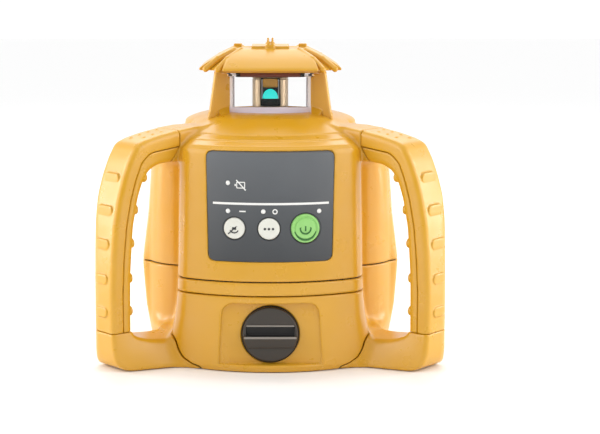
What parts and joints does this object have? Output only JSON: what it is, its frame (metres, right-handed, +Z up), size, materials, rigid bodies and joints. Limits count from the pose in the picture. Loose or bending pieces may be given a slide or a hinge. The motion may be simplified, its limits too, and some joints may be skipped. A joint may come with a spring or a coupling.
{
  "type": "rotating laser level",
  "caption": "Self-levelling rotating laser level: handled body with key panel, glazed lantern, spinning laser head, slide-in battery holder and tripod thread.",
  "frame": {"origin": "centre of the tripod thread's mouth, in the plane of the base's underside", "axes": "+Z up along the laser's spin axis, -Y out of the front face with the key panel, +X to the right seen from the front"},
  "size_m": [0.212, 0.1785, 0.197],
  "materials": {
    "yellow_plastic": "fine moulded grain",
    "black_plastic": "matt",
    "dark_plastic": "satin",
    "panel_grey": "satin printed film",
    "key_white": "satin",
    "key_green": "satin",
    "lamp_lens": "clear",
    "window_glass": "clear",
    "prism_glass": "polished",
    "coated_lens": "polished",
    "rotor_metal": "anodised",
    "cast_metal": "die cast",
    "steel": "bright",
    "brass": "turned",
    "rubber": "soft",
    "board": "solder mask",
    "cell_jacket": "printed film",
    "nylon": "moulded"
  },
  "bodies": {
    "housing": {"base_plate": "black_plastic", "base_screws": "steel", "tripod_insert": "brass", "lower_housing": "yellow_plastic", "housing_seal": "rubber", "upper_housing": "yellow_plastic", "housing_screws": "steel", "left_grip_outer": "yellow_plastic", "left_grip_inner": "yellow_plastic", "right_grip_outer": "yellow_plastic", "right_grip_inner": "yellow_plastic", "lantern_frame": "yellow_plastic", "lantern_seal": "rubber", "front_glass": "window_glass", "rear_glass": "window_glass", "left_glass": "window_glass", "right_glass": "window_glass", "ceiling_plate": "dark_plastic", "ceiling_screws": "steel", "top_cap": "yellow_plastic", "control_panel": "panel_grey", "indicator_lenses": "lamp_lens", "key_board": "board", "key_switches": "steel", "bay_contacts": "brass", "main_board": "board", "chassis": "cast_metal", "chassis_screws": "steel", "outer_pivot_pins": "steel", "levelling_motors": "steel"},
    "mode_key": {"mode_button": "key_white"},
    "manual_key": {"manual_button": "key_white"},
    "power_key": {"power_button": "key_green"},
    "battery_holder": {"battery_cover": "yellow_plastic", "cover_gasket": "rubber", "battery_tray": "black_plastic", "battery_cells": "cell_jacket", "battery_contacts": "brass", "knob_seal": "rubber"},
    "knob": {"lock_knob": "dark_plastic", "knob_shaft": "steel"},
    "gimbal": {"gimbal_ring": "cast_metal"},
    "level_unit": {"level_tube": "cast_metal", "laser_module": "brass", "collimator_lens": "coated_lens", "tilt_sensors": "window_glass", "spindle_bearings": "steel", "drive_motor": "steel", "drive_belt": "rubber", "inner_pivot_pins": "steel"},
    "rotor": {"spindle": "steel", "spindle_pulley": "nylon", "rotor_head": "rotor_metal", "prism": "prism_glass", "rotor_window": "coated_lens"},
    "motor_wheel": {"motor_pulley": "nylon"},
    "drive_screw_x": {"level_screw_x": "steel"},
    "drive_screw_y": {"level_screw_y": "steel"},
    "drive_nut_x": {"level_nut_x": "nylon"},
    "drive_nut_y": {"level_nut_y": "nylon"}
  },
  "joints": [
    {"name": "mode_press", "type": "slide", "parent": "housing", "child": "mode_key", "axis": [0.2332, 0.9724, 0], "range_m": [0, 0.0008], "stiffness_N_per_m": 900, "springref_m": -0.0008},
    {"name": "manual_press", "type": "slide", "parent": "housing", "child": "manual_key", "axis": [0.0087, 1, 0], "range_m": [0, 0.0008], "stiffness_N_per_m": 900, "springref_m": -0.0008},
    {"name": "power_press", "type": "slide", "parent": "housing", "child": "power_key", "axis": [-0.2278, 0.9737, 0], "range_m": [0, 0.0008], "stiffness_N_per_m": 900, "springref_m": -0.0008},
    {"name": "holder_slide", "type": "slide", "parent": "housing", "child": "battery_holder", "axis": [0, -1, 0], "range_m": [0, 0.08]},
    {"name": "lock_turn", "type": "hinge", "parent": "battery_holder", "child": "knob", "pos_m": [0, -0.09, 0.0228], "axis": [0, -1, 0], "range_deg": [-90, 0]},
    {"name": "level_x", "type": "hinge", "parent": "housing", "child": "gimbal", "pos_m": [0, 0, 0.108], "axis": [1, 0, 0], "range_deg": [-5, 5]},
    {"name": "level_y", "type": "hinge", "parent": "gimbal", "child": "level_unit", "pos_m": [0, 0, 0.108], "axis": [0, 1, 0], "range_deg": [-5, 5]},
    {"name": "rotor_spin", "type": "hinge", "parent": "level_unit", "child": "rotor", "pos_m": [0, 0, 0.16], "axis": [0, 0, 1], "continuous": true},
    {"name": "motor_spin", "type": "hinge", "parent": "level_unit", "child": "motor_wheel", "pos_m": [0.0198, 0.0198, 0.131], "axis": [0, 0, 1], "continuous": true},
    {"name": "screw_x_spin", "type": "hinge", "parent": "housing", "child": "drive_screw_x", "pos_m": [0, 0.05, 0.09], "axis": [0, 0, 1], "range_deg": [-1600, 1600]},
    {"name": "screw_y_spin", "type": "hinge", "parent": "housing", "child": "drive_screw_y", "pos_m": [0.05, 0, 0.09], "axis": [0, 0, 1], "range_deg": [-1600, 1600]},
    {"name": "nut_x_slide", "type": "slide", "parent": "housing", "child": "drive_nut_x", "axis": [0, 0, 1], "range_m": [-0.0036, 0.0036]},
    {"name": "nut_y_slide", "type": "slide", "parent": "housing", "child": "drive_nut_y", "axis": [0, 0, 1], "range_m": [-0.0036, 0.0036]}
  ],
  "couplings": [
    {"joint": "motor_spin", "follows": "rotor_spin", "ratio": 2.8889},
    {"joint": "nut_x_slide", "follows": "level_x", "m_per_rad": 0.04},
    {"joint": "nut_y_slide", "follows": "level_y", "m_per_rad": -0.04},
    {"joint": "screw_x_spin", "follows": "level_x", "ratio": 314.16},
    {"joint": "screw_y_spin", "follows": "level_y", "ratio": -314.16}
  ]
}
